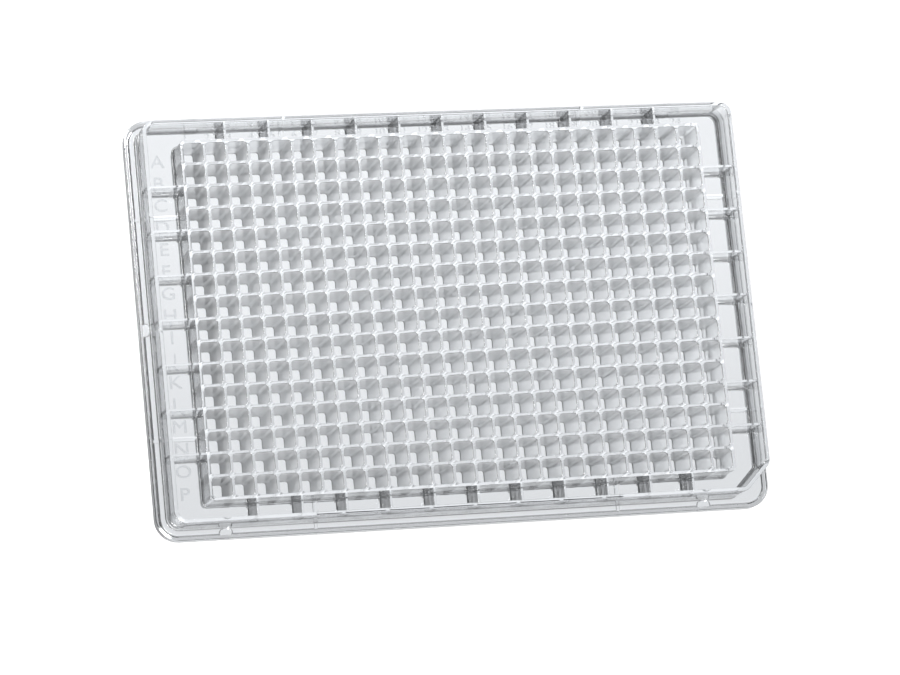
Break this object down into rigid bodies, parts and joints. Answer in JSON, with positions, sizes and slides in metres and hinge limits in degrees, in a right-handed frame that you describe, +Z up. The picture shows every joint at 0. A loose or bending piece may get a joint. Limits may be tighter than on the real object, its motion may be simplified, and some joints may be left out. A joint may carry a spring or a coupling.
{
  "type": "well plate",
  "caption": "Clear low-base microplate: a block of square wells held by ribs in a rimmed frame with a recessed deck and a flanged skirt.",
  "frame": {"origin": "middle of the footprint, on the surface the plate stands on", "axes": "+X from column 1 to column 24, +Y towards row A, +Z up, the way the wells open"},
  "size_m": [0.1278, 0.0854, 0.011],
  "materials": {
    "clear_plastic": "clear polystyrene, polished, water-white"
  },
  "bodies": {
    "root": {"well_plate": "clear_plastic"}
  },
  "joints": []
}
